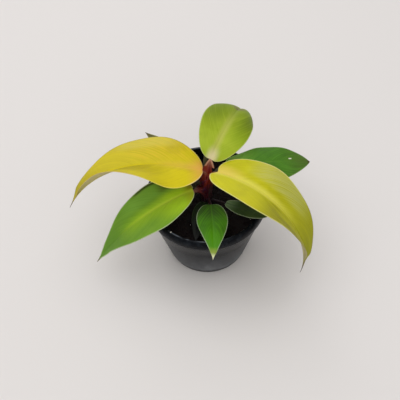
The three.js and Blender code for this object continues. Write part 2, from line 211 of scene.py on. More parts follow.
drill = join(drills)
modify(pot, "BOOLEAN", operation="DIFFERENCE", object=drill, solver="EXACT")
bpy.data.objects.remove(drill)
modify(pot, "BEVEL", width=0.15 * MM, segments=2, limit_method="ANGLE", angle_limit=math.radians(50))

# The outer wall is as the mould left it: finely grained, with a faint grey sheen, and it holds dust
# and dried splashes.
grained_wall, tree = new_material("moulded black polypropylene, grained")
coordinates = add_node(tree, "ShaderNodeTexCoord").outputs["Object"]
height = add_node(tree, "ShaderNodeSeparateXYZ", links={"Vector": coordinates}).outputs["Z"]
# The mould's grain is about 0.3 mm: it is drawn at 0.6 mm, so that it shows.
grain = add_node(
    tree, "ShaderNodeTexNoise", {"Scale": 1 / (0.6 * MM), "Detail": 2}, {"Vector": coordinates}
).outputs["Fac"]
# Dried splashes and dust lie in patches about 12 mm wide, drawn down the wall, heavier low on it.
drawn_down = add_node(
    tree, "ShaderNodeMapping", {"Scale": (1, 1, 0.5)}, {"Vector": coordinates}
).outputs["Vector"]
patches = add_node(
    tree,
    "ShaderNodeTexNoise",
    {"Scale": 1 / (12 * MM), "Detail": 7, "Roughness": 0.7},
    {"Vector": drawn_down},
).outputs["Fac"]
patch_edges = add_node(
    tree, "ShaderNodeMapRange", {"From Min": 0.3, "From Max": 0.7, "To Min": 0.3}, {"Value": patches}
).outputs["Result"]
low_wall = add_node(
    tree,
    "ShaderNodeMapRange",
    {
        "interpolation_type": "SMOOTHSTEP",
        "From Min": 54 * MM,
        "From Max": -6 * MM,
        "To Min": 0.02,
        "To Max": 0.85,
    },
    {"Value": height},
).outputs["Result"]
dust = add_node(
    tree, "ShaderNodeMath", {"operation": "MULTIPLY"}, {0: low_wall, 1: patch_edges}
).outputs["Value"]
plastic_colour = lay_colour(tree, "#0a0c10", "#898b8e", [(dust, 0, 1)], easing="LINEAR")
plastic_roughness = add_node(
    tree, "ShaderNodeMath", {"operation": "MULTIPLY_ADD", 1: 0.7, 2: 0.24}, {0: dust}
).outputs["Value"]
plastic_relief = add_node(
    tree, "ShaderNodeBump", {"Strength": 0.25, "Distance": 0.03 * MM}, {"Height": grain}
).outputs["Normal"]
plastic = add_node(
    tree,
    "ShaderNodeBsdfPrincipled",
    {"IOR": 1.49, "Specular IOR Level": 0.04, "Sheen Weight": 0.01, "Sheen Roughness": 0.3},
    {"Base Color": plastic_colour, "Roughness": plastic_roughness, "Normal": plastic_relief},
)
add_node(tree, "ShaderNodeOutputMaterial", links={"Surface": plastic.outputs["BSDF"]})

# The lip and the inside come off polished steel: they stay blue-black, dulled here and there by
# fingers and by splashed peat in smears about 5 mm wide. A band at the foot takes this dark finish
# too, as painted shade of the contact shadow under the pot.
polished_lip, tree = new_material("moulded black polypropylene, polished")
coordinates = add_node(tree, "ShaderNodeTexCoord").outputs["Object"]
smears = add_node(
    tree,
    "ShaderNodeTexNoise",
    {"Scale": 1 / (5 * MM), "Detail": 5, "Roughness": 0.6},
    {"Vector": coordinates},
).outputs["Fac"]
lip_colour = lay_colour(tree, "#070a0f", "#1c2127", [(smears, 0.45, 0.75)], easing="LINEAR")
# A painted highlight lies along the crest of the rim on the left, in grey stretches about 9 mm long.
flat_place = add_node(
    tree, "ShaderNodeVectorMath", {"operation": "MULTIPLY", 1: (1, 1, 0)}, {0: coordinates}
).outputs["Vector"]
from_axis = add_node(
    tree, "ShaderNodeVectorMath", {"operation": "LENGTH"}, {0: flat_place}
).outputs["Value"]
place = add_node(tree, "ShaderNodeSeparateXYZ", links={"Vector": coordinates}).outputs
highlight_stretches = add_node(
    tree, "ShaderNodeTexNoise", {"Scale": 1 / (9 * MM), "Detail": 4}, {"Vector": coordinates}
).outputs["Fac"]
painted_crest_highlight = (
    (place["Z"], (POT_HEIGHT - 0.5) * MM, (POT_HEIGHT - 0.2) * MM),
    (place["X"], 24 * MM, 4 * MM),
    (from_axis, (LIP_RADIUS - 4) * MM, (LIP_RADIUS - 3.6) * MM),
    (from_axis, (LIP_RADIUS - 2.5) * MM, (LIP_RADIUS - 2.9) * MM),
    (highlight_stretches, 0.4, 0.6),
)
# The painted highlight on the crest is laid over the lip's colour.
lip_colour = lay_colour(tree, lip_colour, "#565b62", painted_crest_highlight, easing="LINEAR")
lip_roughness = add_node(
    tree,
    "ShaderNodeMapRange",
    {"From Min": 0.45, "From Max": 0.75, "To Min": 0.22, "To Max": 0.4},
    {"Value": smears},
).outputs["Result"]
lip_plastic = add_node(
    tree,
    "ShaderNodeBsdfPrincipled",
    {"IOR": 1.49, "Specular IOR Level": 0.08},
    {"Base Color": lip_colour, "Roughness": lip_roughness},
)
add_node(tree, "ShaderNodeOutputMaterial", links={"Surface": lip_plastic.outputs["BSDF"]})
# The lip, the inside and the band at the foot take the dark finish; at the foot it is painted shade.
for face in pot.data.polygons:
    from_axis, level = math.hypot(face.center.x, face.center.y) / MM, face.center.z / MM
    on_wall = FOOT_SHADE_HEIGHT < level < shoulder - 0.1 and from_axis > wall_radius(level) - 0.6
    face.material_index = 0 if on_wall else 1
finish_piece(pot, "pot", [grained_wall, polished_lip], ["nursery_pot"], 40)


# Potting soil. Damp peat with coir, a very dark brown mass that takes the pot's shape, sunk some
# 14 mm below the rim by watering. Its top is a crust of small crumbs with a plain hole for the stem.
CLEARANCE = 0.3
SOIL_TOP = 61.5
HOLE_RADIUS = 5.5
HOLE_FLOOR = 33.7
SOIL_SIDES = 200
RING_STEP = 0.9
# The crust is smoother against the wall: its relief fades to a quarter over the last few mm.
CRUST_RADIUS = 46.5
CRUST_FADE = 3
# Things laid on the soil are dropped on it from this height, in metres.
DROP_HEIGHT = 0.1


def soil_side(height):
    """The soil's radius in mm at a height, just clear of the pot's wall."""
    return wall_radius(height) - WALL - CLEARANCE


soil_rings = [
    (soil_side(FLOOR) - 2.2, FLOOR + CLEARANCE),
    (soil_side(FLOOR + 2.2) - 0.1, FLOOR + 2.2 + CLEARANCE),
    (soil_side(30) - 0.05, 30),
    (soil_side(SOIL_TOP - 2) - 0.3, SOIL_TOP - 2),
    (soil_side(SOIL_TOP - 1) - 0.5, SOIL_TOP - 0.6),
]
ring_radius = soil_side(SOIL_TOP) - 1.4
while ring_radius > HOLE_RADIUS + RING_STEP:
    soil_rings.append((ring_radius, SOIL_TOP))
    ring_radius -= RING_STEP
soil_rings += [(HOLE_RADIUS, SOIL_TOP - 0.3), (HOLE_RADIUS, HOLE_FLOOR)]
soil = turn_rings(soil_rings, SOIL_SIDES)

crust = soil.vertex_groups.new(name="crust")
for vertex in soil.data.vertices:
    from_axis = math.hypot(vertex.co.x, vertex.co.y) / MM
    if vertex.co.z > (SOIL_TOP - 0.7) * MM:
        near_wall = min(1, max(0.25, (CRUST_RADIUS - from_axis) / CRUST_FADE))
        crust.add([vertex.index], near_wall * min(1, max(0, (from_axis - HOLE_RADIUS) / 2)), "REPLACE")
# Low mounds some 20 mm wide, clods of 5 mm and crumbs of 2 mm, each raised by its own noise.
for label, width, relief in (("mounds", 20, 3.2), ("clods", 5, 1.6), ("crumbs", 2, 1.1)):
    noise = bpy.data.textures.new("soil " + label, "CLOUDS")
    noise.noise_scale = width * MM
    noise.noise_depth = 3
    modify(
        soil,
        "DISPLACE",
        texture=noise,
        strength=relief * MM,
        mid_level=0.5,
        direction="Z",
        vertex_group="crust",
    )

peat, tree = new_material("damp peat")
coordinates = add_node(tree, "ShaderNodeTexCoord").outputs["Object"]
# Crumbs of 2 mm differ in wetness, and dry fibres of 0.7 mm show as lighter flecks.
wetness = add_node(
    tree, "ShaderNodeTexVoronoi", {"Scale": 1 / (2 * MM)}, {"Vector": coordinates}
).outputs["Color"]
flecks = add_node(
    tree,
    "ShaderNodeTexNoise",
    {"Scale": 1 / (0.7 * MM), "Detail": 5, "Roughness": 0.7},
    {"Vector": coordinates},
).outputs["Fac"]
peat_colour = lay_colour(tree, "#090506", "#170d0d", [(wetness, 0, 1)], easing="LINEAR")
peat_colour = lay_colour(tree, peat_colour, "#2d1e1b", [(flecks, 0.55, 0.8)], 0.8, "LINEAR")
peat_relief = add_node(
    tree, "ShaderNodeBump", {"Strength": 0.8, "Distance": 0.4 * MM}, {"Height": flecks}
).outputs["Normal"]
peat_roughness = add_node(
    tree, "ShaderNodeMapRange", {"To Min": 0.6, "To Max": 0.95}, {"Value": wetness}
).outputs["Result"]
peat_shader = add_node(
    tree,
    "ShaderNodeBsdfPrincipled",
    {"IOR": 1.4, "Specular IOR Level": 0.25},
    {"Base Color": peat_colour, "Roughness": peat_roughness, "Normal": peat_relief},
)
add_node(tree, "ShaderNodeOutputMaterial", links={"Surface": peat_shader.outputs["BSDF"]})
finish_piece(soil, "soil", [peat], ["potting_soil"], 60)


# Loose crumbs on the soil. Small clods of the same peat that roll free when the top dries, each an
# uneven ball, half sunk in the crust. Four shapes are modelled and scattered in many sizes.
CRUMB_COUNT = 420
CRUMB_SHAPES = 4
CRUMB_RELIEF = 1.1
CRUMB_SIZES = (0.35, 1.5)
CRUMB_SINK = 0.3
SOIL_EDGE = 45.2


def uneven_ball(number, relief):
    """A ball 2 mm across, its surface pushed in and out by noise, different for each number."""
    select_only()
    bpy.ops.mesh.primitive_ico_sphere_add(subdivisions=2, radius=MM, location=(number * 7 * MM, 0, 0))
    ball = bpy.context.object
    noise = bpy.data.textures.new("uneven ball", "CLOUDS")
    noise.noise_scale = 0.9 * MM
    modify(ball, "DISPLACE", texture=noise, texture_coords="GLOBAL", strength=relief * MM, mid_level=0.5)
    ball.location = (0, 0, 0)
    return ball


def lay_on_soil(shape, x, y, size, sink, stretch, turn):
    """A copy of a shape, its mesh its own, laid on the soil at x and y in mm."""
    _, place, _, _ = soil.ray_cast(Vector((x * MM, y * MM, DROP_HEIGHT)), Vector((0, 0, -1)))
    piece = shape.copy()
    piece.data = shape.data.copy()
    bpy.context.collection.objects.link(piece)
    place.z -= sink * size * MM
    piece.matrix_world = Matrix.LocRotScale(place, turn, Vector(stretch) * size)
    return piece


def scatter_on_soil(shapes, count, inner, outer, sizes, sink, seed):
    """Copies of the shapes at random places on the soil, between two radii, joined into one mesh."""
    random.seed(seed)
    pieces = []
    for _ in range(count):
        angle = random.uniform(0, 2 * math.pi)
        from_axis = math.sqrt(random.uniform(inner**2, outer**2))
        stretch = [random.uniform(0.7, 1.2) for _ in range(3)]
        turn = Euler([random.uniform(0, 2 * math.pi) for _ in range(3)])
        size = sizes[0] + (sizes[1] - sizes[0]) * random.random() ** 2
        pieces.append(
            lay_on_soil(
                random.choice(shapes),
                from_axis * math.cos(angle),
                from_axis * math.sin(angle),
                size,
                sink,
                stretch,
                turn.to_quaternion(),
            )
        )
    return join(pieces)


bpy.context.view_layer.update()
crumb_shapes = [uneven_ball(number, CRUMB_RELIEF) for number in range(CRUMB_SHAPES)]
crumbs = scatter_on_soil(
    crumb_shapes, CRUMB_COUNT, HOLE_RADIUS + 1.2, SOIL_EDGE, CRUMB_SIZES, CRUMB_SINK, seed=11
)
finish_piece(crumbs, "soil_crumbs", [peat], smooth_angle=50)


# Perlite. White volcanic glass, popped by heat into rough grains of 1 to 3 mm and mixed through the
# peat to keep it open. A few stand out of the crust, dulled by the peat that clings to them, and one
# that was spilt in potting has stuck to the crest of the rim.
GRAIN_COUNT = 9
GRAINS_FROM = 14
GRAIN_SIZES = (0.4, 0.9)
GRAIN_SINK = 0.35
RIM_GRAIN = (-30.3, -39.2, POT_HEIGHT + 0.25)
perlite_grains = scatter_on_soil(
    crumb_shapes, GRAIN_COUNT, GRAINS_FROM, SOIL_EDGE - 2, GRAIN_SIZES, GRAIN_SINK, seed=23
)
rim_grain = crumb_shapes[0].copy()
rim_grain.data = crumb_shapes[0].data.copy()
bpy.context.collection.objects.link(rim_grain)
rim_grain.location = Vector(RIM_GRAIN) * MM
rim_grain.scale = (0.75, 0.6, 0.5)
perlite_grains = join([rim_grain, perlite_grains])

perlite, tree = new_material("perlite")
coordinates = add_node(tree, "ShaderNodeTexCoord").outputs["Object"]
# Pores of about 0.4 mm hold the peat.
pores = add_node(
    tree, "ShaderNodeTexNoise", {"Scale": 1 / (0.4 * MM), "Detail": 3}, {"Vector": coordinates}
).outputs["Fac"]
perlite_colour = lay_colour(tree, "#d8d4ca", "#6b5a4c", [(pores, 0.45, 0.75)], easing="LINEAR")
perlite_relief = add_node(
    tree, "ShaderNodeBump", {"Strength": 0.7, "Distance": 0.2 * MM}, {"Height": pores}
).outputs["Normal"]
perlite_shader = add_node(
    tree,
    "ShaderNodeBsdfPrincipled",
    {"Roughness": 0.9, "IOR": 1.5},
    {"Base Color": perlite_colour, "Normal": perlite_relief},
)
add_node(tree, "ShaderNodeOutputMaterial", links={"Surface": perlite_shader.outputs["BSDF"]})
finish_piece(perlite_grains, "perlite_grains", [perlite], smooth_angle=40)


# Coir fibres. Stiff brown hairs of coconut husk, a fifth of a millimetre thick and about 10 mm long,
# that the peat is bulked out with. They lie over the crumbs in low bows, with both ends in the crust.
FIBRE_COUNT = 34
FIBRE_RADIUS = 0.13
FIBRES_FROM = 9
FIBRES_TO = 40
HALF_FIBRE = (2.5, 5.5)
FIBRE_BOW = (1.2, 2.2)
FIBRE_SINK = 0.2


def bend_tube(start, start_handle, end_handle, end, cuts, radii):
    """A tube along a Bezier curve between two points, in mm, with its radii spread evenly along it."""
    select_only()
    bpy.ops.curve.primitive_bezier_curve_add()
    tube = bpy.context.object
    first, last = tube.data.splines[0].bezier_points
    for point in (first, last):
        point.handle_left_type = "FREE"
        point.handle_right_type = "FREE"
    first.co, first.handle_right = start * MM, start_handle * MM
    first.handle_left = (2 * start - start_handle) * MM
    last.co, last.handle_left = end * MM, end_handle * MM
    last.handle_right = (2 * end - end_handle) * MM
    bpy.ops.object.mode_set(mode="EDIT")
    bpy.ops.curve.select_all(action="SELECT")
    bpy.ops.curve.subdivide(number_cuts=cuts)
    bpy.ops.object.mode_set(mode="OBJECT")
    points = tube.data.splines[0].bezier_points
    for index, point in enumerate(points):
        point.radius = float(np.interp(index / (len(points) - 1), np.linspace(0, 1, len(radii)), radii))
    tube.data.resolution_u = 4
    tube.data.bevel_depth = MM
    tube.data.bevel_resolution = 3
    tube.data.use_fill_caps = True
    return tube


def to_mesh(curves):
    select_only(*curves)
    bpy.ops.object.convert(target="MESH")
    return join(curves)


random.seed(5)
fibres = []
for _ in range(FIBRE_COUNT):
    angle = random.uniform(0, 2 * math.pi)
    from_axis = math.sqrt(random.uniform(FIBRES_FROM**2, FIBRES_TO**2))
    heading = random.uniform(0, 2 * math.pi)
    half = random.uniform(*HALF_FIBRE)
    middle = Vector((from_axis * math.cos(angle), from_axis * math.sin(angle), 0))
    way = Vector((math.cos(heading), math.sin(heading), 0))
    ends = []
    for side in (-1, 1):
        point = middle + way * half * side
        above = Vector((point.x * MM, point.y * MM, DROP_HEIGHT))
        _, place, _, _ = soil.ray_cast(above, Vector((0, 0, -1)))
        ends.append(place / MM - Vector((0, 0, FIBRE_SINK)))
    bow = Vector((random.uniform(-1, 1), random.uniform(-1, 1), random.uniform(*FIBRE_BOW)))
    radii = (0.7 * FIBRE_RADIUS, FIBRE_RADIUS, 0.5 * FIBRE_RADIUS)
    lead = way * half * 0.6
    fibres.append(bend_tube(ends[0], ends[0] + lead + bow, ends[1] - lead + bow, ends[1], 2, radii))
coir_fibres = to_mesh(fibres)

coir, tree = new_material("coconut coir")
coordinates = add_node(tree, "ShaderNodeTexCoord").outputs["Object"]
# Fibres bleach in stretches of about 6 mm.
bleaching = add_node(
    tree, "ShaderNodeTexNoise", {"Scale": 1 / (6 * MM), "Detail": 2}, {"Vector": coordinates}
).outputs["Fac"]
coir_colour = lay_colour(tree, "#1d120d", "#3f2b1d", [(bleaching, 0, 1)], easing="LINEAR")
coir_shader = add_node(
    tree, "ShaderNodeBsdfPrincipled", {"Roughness": 0.8, "IOR": 1.45}, {"Base Color": coir_colour}
)
add_node(tree, "ShaderNodeOutputMaterial", links={"Surface": coir_shader.outputs["BSDF"]})
finish_piece(coir_fibres, "coir_fibres", [coir])
for shape in crumb_shapes:
    bpy.data.objects.remove(shape)


# Some washes are painted shade, painted light, painted sheen or a painted glint, as said beside each.
# Leaf blades. Ten blades of one young plant, each a thin waxy sheet with a sunken midrib that stands
# out underneath, fine veins that sweep towards the margin, a pale rim and a drip tip. They open
# golden, turn lime and age to dark green, so the colours differ from blade to blade.
# A blade grows from base (mm) towards heading (degrees from +X, turned by heading_turn along its
# length). rise is its slope at the base, and fall and tip_fall bend it down. shoulder and taper shape
# the outline, fold is the V of its halves at the base, fold_tip what is added at the tip and arch how
# far each half curves down. roll and roll_twist turn it about the midrib, lobes are the two base
# lobes, lean is the difference of the halves' widths, and ripple is the margin's wave (mm, waves, phase).
# round_lobe is how soon the right lobe is full, where it isn't as soon as the left one, and swing a
# slow wave of the margins: its place along the blade, then how far out and how far up (mm) the left
# and the right margin swing there. crown is where the halves bulge up beside the midrib, and by how
# much (mm). drip is the share of its width that each half loses towards a long drip tip, and where
# that starts.
# flesh is the blade's colour, from its lightest veins to its deepest, and veining is how strongly the
# veins show. Each wash is laid over the flesh in turn: a colour, how strong it is, and its limits, each
# a measure of the blade with where the wash is gone and where it is full.
# "along" runs from 0 at the base to 1 at the tip, and "midrib", "margin" and "side" are in mm: from
# the midrib, from the margin, and to the left of the midrib, or to its right where negative. "streak"
# and "mottle" are the flesh's own patterns, from 0 to 1, and "main vein" is 1 along each main vein.
BLADES = {
    "leaf_left": {
        "node": "leaf_blade_left", "slot": "golden_leaf",
        "base": (-2.7, 3.4, 105.4), "heading": 176.9, "heading_turn": 59.5,
        "rise": 15.3, "fall": -25, "tip_fall": -27.2, "length": 122.3, "half_width": 31.7,
        "shoulder": 0.973, "taper": 1.6, "fold": 11.5, "fold_tip": 36.7, "arch": 9.6,
        "roll": -5.1, "roll_twist": 59.8, "lobes": (0.053, 0.027), "lean": 0.051, "ripple": (0.5, 3, 0.4),
        "flesh": ("#d1c018", "#c5b60a", "#ae9c0a"), "veining": 0.75,
        "washes": (
            ("#c2b226", 0.6, ("side", 1, -5), ("along", 0.12, 0.35)),
            ("#dccb1c", 0.5, ("side", 3, 8), ("along", 0.32, 0.16)),
            # Painted shade on the half towards the viewer, midway along.
            ("#a29400", 0.92, ("side", -0.5, 1.5), ("side", 22, 7), ("along", 0.2, 0.45)),
            ("#d9b545", 0.6, ("midrib", 7, 1), ("along", 0.42, 0.1)),
            ("#dc9e50", 0.7, ("along", 0.13, 0), ("side", -14, -4)),
            (
                "#d9ab3a", 0.45, ("streak", 0.45, 0.62), ("side", -4, -9),
                ("along", 0.05, 0.15), ("along", 0.6, 0.35),
            ),
            (
                "#9c8a22", 0.4, ("streak", 0.4, 0.55), ("along", 0.14, 0.18), ("along", 0.27, 0.22),
                ("side", -10, -14), ("side", -22, -18),
            ),
            ("#a19630", 0.9, ("along", 0.66, 0.92)),
            ("#dccf62", 0.8, ("margin", 1.1, 0.3), ("side", 2, 6), ("along", 0.6, 0.5)),
            ("#eccaa0", 0.8, ("margin", 1.3, 0.4), ("along", 0.14, 0.05)),
            ("#c2a560", 0.8, ("margin", 2.6, 0.6), ("side", 1, 3), ("along", 0.42, 0.6)),
            # Painted sheen on the outer part of the far half.
            ("#cbbf62", 0.4, ("side", -17, -24), ("along", 0.1, 0.25), ("along", 0.6, 0.48)),
            # Painted shade: a dark tan line along the far margin.
            ("#9c9150", 0.7, ("margin", 1.1, 0.3), ("side", -2, -6)),
            ("#57462f", 1, ("along", 0.93, 0.975)),
        ),
    },
    "leaf_right": {
        "node": "leaf_blade_right", "slot": "lime_yellow_leaf",
        "base": (9.8, -2.7, 109.3), "heading": -28.5, "heading_turn": -32.2,
        "rise": 13.8, "fall": -124.5, "tip_fall": 8.2, "length": 149.1, "half_width": 30.2,
        "shoulder": 0.809, "taper": 1.821, "fold": 13.4, "fold_tip": 53.6, "arch": 8.5,
        "roll": -15.5, "roll_twist": -16, "lobes": (0.146, 0.16), "lean": -0.048, "ripple": (0.5, 3.5, 1.2),
        "round_lobe": 0.0015, "drip": ((0.5, 0.76), (0.55, 0.5)),
        "flesh": ("#c8c41c", "#b8b414", "#a09c0c"), "veining": 0.6,
        "washes": (
            ("#94951a", 1, ("along", 0.25, 0.7)),
            # Painted shade on the half towards the viewer.
            ("#827f06", 0.95, ("side", -3.5, -7), ("along", 0.22, 0.42)),
            # Painted light on the lower part of the near half, beside the midrib.
            (
                "#acac1c", 0.6, ("side", 6, 2), ("side", -20, -14),
                ("along", 0.37, 0.44), ("along", 0.75, 0.65),
            ),
            ("#d4cc30", 0.35, ("side", -1, -4), ("along", 0.36, 0.15)),
            ("#908f14", 0.5, ("side", 10, 18), ("along", 0.2, 0.4)),
            ("#d6cf54", 0.8, ("side", -6, -2.5), ("side", 6.5, 1.5), ("along", 0.62, 0.28)),
            ("#dcbe58", 0.65, ("along", 0.2, 0.03), ("side", -4, 0), ("side", 12, 5)),
            # Painted sheen: greyish patches on the far half.
            (
                "#b2b372", 0.6, ("side", 8, 14), ("along", 0.12, 0.25),
                ("along", 0.62, 0.45), ("streak", 0.3, 0.6),
            ),
            ("#d9d38c", 0.8, ("margin", 1.2, 0.3), ("along", 0.55, 0.4)),
            ("#8a7c42", 0.7, ("margin", 1.2, 0.3), ("along", 0.4, 0.6)),
            ("#6e6832", 0.85, ("along", 0.8, 0.88)),
            ("#4d3b33", 1, ("along", 0.84, 0.91)),
        ),
    },
    "leaf_back": {
        "node": "leaf_blade_back", "slot": "lime_leaf",
        "base": (4.4, 7.8, 113.2), "heading": 64.9, "heading_turn": 8.9,
        "rise": 20, "fall": -67.7, "tip_fall": -34.2, "length": 93.8, "half_width": 20.4,
        "shoulder": 0.749, "taper": 1.113, "fold": 8.7, "fold_tip": -8.5, "arch": 17.9,
        "roll": 17.9, "roll_twist": -2, "lobes": (0.056, 0.081), "lean": 0, "ripple": (0.4, 3, 2),
        "swing": (0.61, (2.6, 0.8), (-3, 0)), "crown": (0.68, (1.6, 2.3)),
        "flesh": ("#abb934", "#9bad26", "#869a12"), "veining": 0.45,
        "washes": (
            ("#788c14", 0.95, ("along", 0.2, 0.6)),
            ("#7f9a12", 0.6, ("side", -4, -12), ("along", 0.1, 0.3)),
            ("#667c0a", 0.8, ("side", 2, 12), ("along", 0.2, 0.52)),
            ("#5e720c", 0.85, ("side", -4, -13), ("along", 0.28, 0.54)),
            ("#b4b456", 0.65, ("midrib", 4.8, 0.8), ("along", 0.72, 0.28)),
            ("#d2c39c", 0.82, ("along", 0.15, 0.02), ("midrib", 7, 1.5)),
            ("#b9c07c", 0.7, ("margin", 0.9, 0.25), ("along", 0.6, 0.45)),
            ("#7a6c44", 0.8, ("margin", 1.5, 0.4), ("along", 0.5, 0.7)),
            (
                "#6f5f40", 0.8, ("along", 0.66, 0.69), ("along", 0.76, 0.73), ("side", 7, 3),
                ("side", -9, -4), ("streak", 0.38, 0.5),
            ),
            ("#5b5a34", 1, ("along", 0.93, 0.98)),
        ),
    },
    "leaf_front_left": {
        "node": "leaf_blade_front_left", "slot": "green_leaf",
        "base": (-11, -9.4, 93.5), "heading": 196.2, "heading_turn": 9,
        "rise": -11.4, "fall": -50.6, "tip_fall": 10.8, "length": 113.8, "half_width": 23.1,
        "shoulder": 0.83, "taper": 1.64, "fold": 14.4, "fold_tip": 10.5, "arch": 8.3,
        "roll": 1.6, "roll_twist": -6.5, "lobes": (0.058, 0.1), "lean": 0.025, "ripple": (0.5, 3, 0),
        "flesh": ("#7da232", "#6a9526", "#57811c"), "veining": 0.7,
        "washes": (
            ("#608a30", 0.85, ("along", 0.42, 0.85)),
            # The far half's paler tone, partly its own and partly painted sheen.
            ("#7aab3e", 0.75, ("side", -5, -12), ("along", 0.64, 0.45)),
            ("#86b23c", 0.25, ("side", 4, 10), ("along", 0.72, 0.5)),
            # A yellow-green glow about the midrib, partly the blade's own and partly painted light where the
            # left leaf's shadow falls.
            ("#98bf1e", 0.85, ("side", -9, -1), ("side", 15, 3), ("along", 0.72, 0.42)),
            ("#b2d824", 0.85, ("along", 0.36, 0.12), ("side", -12, -3), ("side", 24, 12)),
            ("#9c9a10", 0.7, ("along", 0.1, 0.02)),
            ("#7c5228", 0.6, ("along", 0.07, 0.01), ("side", -1, -4)),
            # Painted shade of the left leaf's shadow on the far side of the base.
            ("#40360c", 0.65, ("side", -8, -13), ("along", 0.02, 0.06), ("along", 0.27, 0.19)),
            # Painted shade: a dark band along the far margin, under the left leaf.
            (
                "#241e10", 0.9, ("margin", 3.8, 1.6), ("side", -8, -12),
                ("along", 0.18, 0.26), ("along", 0.47, 0.38),
            ),
            ("#b8cc3c", 0.55, ("midrib", 2.6, 0.6), ("along", 0.75, 0.3)),
            ("#c2caa4", 0.8, ("margin", 0.9, 0.3)),
            ("#5c5a2a", 1, ("along", 0.93, 0.98)),
        ),
    },
    "leaf_back_right": {
        "node": "leaf_blade_back_right", "slot": "green_leaf",
        "base": (18.3, 12.7, 99.3), "heading": 1.7, "heading_turn": 6.5,
        "rise": 2.4, "fall": -9.9, "tip_fall": -12.6, "length": 71.7, "half_width": 19.5,
        "shoulder": 0.76, "taper": 0.915, "fold": 0, "fold_tip": 10.5, "arch": 16.5,
        "roll": -13.6, "roll_twist": 15.5, "lobes": (0.14, 0.15), "lean": -0.032, "ripple": (0.4, 3, 1),
        "flesh": ("#4e8220", "#427216", "#335e12"),
        "washes": (
            # Painted light on the base, where the back leaf's shadow falls.
            ("#86ba48", 0.9, ("along", 0.42, 0.1)),
            ("#4a5f20", 0.85, ("along", 0.6, 0.95)),
            ("#548420", 0.5, ("midrib", 1.2, 0.3), ("along", 0.9, 0.4)),
            ("#8a9a62", 0.6, ("margin", 0.8, 0.25)),
            # A painted glint: a near-white streak about three quarters along the blade.
            (
                "#e4e2d2", 0.95, ("along", 0.732, 0.742), ("along", 0.775, 0.765),
                ("side", 1.9, 2.3), ("side", 3.4, 3),
            ),
            ("#4a4028", 1, ("along", 0.96, 0.985)),
        ),
    },
    "leaf_front_small": {
        "node": "leaf_blade_front_small", "slot": "green_leaf",
        "base": (3.6, -12.6, 76), "heading": -86.3, "heading_turn": -9.9,
        "rise": 7, "fall": -9.4, "tip_fall": -16, "length": 54.1, "half_width": 12.6,
        "shoulder": 0.674, "taper": 1.44, "fold": 6.7, "fold_tip": 10.5, "arch": 16.3,
        "roll": -1.1, "roll_twist": -3.1, "lobes": (0.114, 0.144), "lean": -0.013, "ripple": (0.2, 3, 0.5),
        "flesh": ("#569418", "#467c18", "#335a14"),
        "washes": (
            ("#385422", 0.92, ("along", 0.4, 0.13)),
            ("#4c8c04", 0.8, ("along", 0.3, 0.62), ("midrib", 9, 2)),
            ("#568c22", 0.45, ("midrib", 0.9, 0.3), ("along", 0.9, 0.5)),
            ("#b4bfa2", 0.75, ("margin", 0.8, 0.3)),
            ("#8a9a3c", 0.9, ("along", 0.78, 0.88)),
            ("#d3d3ac", 1, ("along", 0.88, 0.96)),
        ),
    },
    "leaf_right_small": {
        "node": "leaf_blade_right_small", "slot": "dark_leaf",
        "base": (16.8, -9.5, 73.7), "heading": -31.6, "heading_turn": 9.4,
        "rise": 10.6, "fall": -4.7, "tip_fall": 3.5, "length": 39.5, "half_width": 6.5,
        "shoulder": 0.685, "taper": 0.693, "fold": 9.5, "fold_tip": 5.7, "arch": 13.7,
        "roll": 1, "roll_twist": 4.3, "lobes": (0.143, 0.139), "lean": -0.01, "ripple": (0.2, 3, 1.5),
        "flesh": ("#3a5026", "#2c3f1c", "#1e2e14"),
        "washes": (
            ("#667f56", 0.9, ("along", 0.34, 0.03)),
            ("#42552c", 0.7, ("along", 0.5, 0.7)),
            ("#34492a", 0.5, ("midrib", 0.9, 0.3)),
            ("#94a086", 0.8, ("margin", 0.8, 0.3)),
            ("#5a6138", 1, ("along", 0.93, 0.98)),
        ),
    },
    "leaf_back_left": {
        "node": "leaf_blade_back_left", "slot": "olive_leaf",
        "base": (-11, 6, 95.4), "heading": 132.8, "heading_turn": 1.4,
        "rise": 9.7, "fall": -10.6, "tip_fall": 2.1, "length": 59.4, "half_width": 12.2,
        "shoulder": 0.615, "taper": 1.35, "fold": 12, "fold_tip": 7.9, "arch": 12.1,
        "roll": 0.5, "roll_twist": 0.4, "lobes": (0.15, 0.15), "lean": 0, "ripple": (0.3, 3, 0.2),
        "flesh": ("#5b6d2c", "#4b5d22", "#3d4d1a"),
        "washes": (
            ("#625a34", 0.8, ("along", 0.45, 0.85)),
            ("#6f8040", 0.6, ("midrib", 1.2, 0.3), ("along", 0.9, 0.4)),
            ("#9c9a68", 0.7, ("margin", 0.9, 0.3)),
            ("#4a3f28", 1, ("along", 0.9, 0.97)),
        ),
    },
    "leaf_lower_front": {
        "node": "leaf_blade_lower_front", "slot": "dark_leaf",
        "base": (-2, -6.9, 71.5), "heading": -105.4, "heading_turn": 9.3,
        "rise": 1.2, "fall": -16.7, "tip_fall": -0.2, "length": 37.3, "half_width": 6.5,
        "shoulder": 0.651, "taper": 1.223, "fold": 10.4, "fold_tip": 8, "arch": 13.7,
        "roll": 1.4, "roll_twist": 0.3, "lobes": (0.15, 0.138), "lean": 0, "ripple": (0.2, 3, 0.9),
        "flesh": ("#1f3014", "#182610", "#101a0b"),
        "washes": (
            ("#26381f", 0.6, ("midrib", 0.9, 0.3)),
            ("#3d4a32", 0.7, ("margin", 0.8, 0.3)),
            # Painted shade: the outer part is near black, shaded by the leaves over it.
            ("#070906", 1, ("along", 0.4, 0.62)),
        ),
    },
    "leaf_lower_left": {
        "node": "leaf_blade_lower_left", "slot": "dark_leaf",
        "base": (-9, 3, 80.2), "heading": 184, "heading_turn": 2,
        "rise": 3, "fall": -16, "tip_fall": 0, "length": 56, "half_width": 11,
